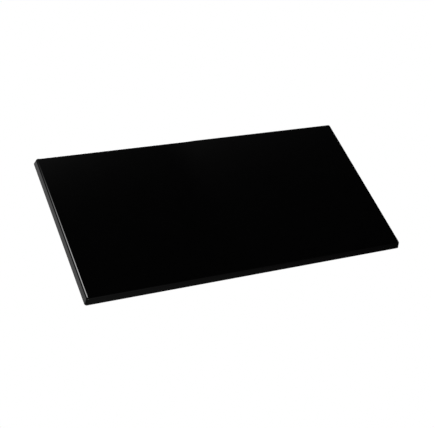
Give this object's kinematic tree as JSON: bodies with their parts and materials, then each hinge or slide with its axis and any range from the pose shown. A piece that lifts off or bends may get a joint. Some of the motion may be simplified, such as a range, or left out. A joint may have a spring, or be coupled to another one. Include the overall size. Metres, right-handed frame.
{
  "type": "kick plate",
  "caption": "Boxed gloss-black kick plate for the foot of a door, with sloping rounded edges and no visible fixings, held on by foam mounting tape behind.",
  "frame": {"origin": "middle of the rectangle that touches the door, on the door's face (outer face of the release liners)", "axes": "+Z out of the door through the show face, +X along the plate's long side, +Y up the door when the plate is hung"},
  "size_m": [0.4, 0.203, 0.01],
  "materials": {
    "gloss_black_coating": "mirror-gloss black stove enamel over pressed steel",
    "bond_adhesive": "cured amber contact adhesive, satin",
    "core_fibreboard": "raw moisture-resistant fibreboard, matt",
    "galvanised_sheet": "galvanised steel sheet with a fine dull spangle",
    "sealant": "cured black sealant, satin",
    "foam_tape": "dark grey closed-cell acrylic foam, matt",
    "release_liner": "off-white silicone-coated release liner, satin"
  },
  "bodies": {
    "root": {"face_pan": "gloss_black_coating", "face_bond_film": "bond_adhesive", "core_board": "core_fibreboard", "back_bond_film": "bond_adhesive", "back_sheet": "galvanised_sheet", "edge_seal": "sealant", "tape_top": "foam_tape", "tape_bottom": "foam_tape", "tape_left_end": "foam_tape", "tape_right_end": "foam_tape", "tape_upright_left": "foam_tape", "tape_upright_centre": "foam_tape", "tape_upright_right": "foam_tape", "liner_top": "release_liner", "liner_bottom": "release_liner", "liner_left_end": "release_liner", "liner_right_end": "release_liner", "liner_upright_left": "release_liner", "liner_upright_centre": "release_liner", "liner_upright_right": "release_liner"}
  },
  "joints": []
}
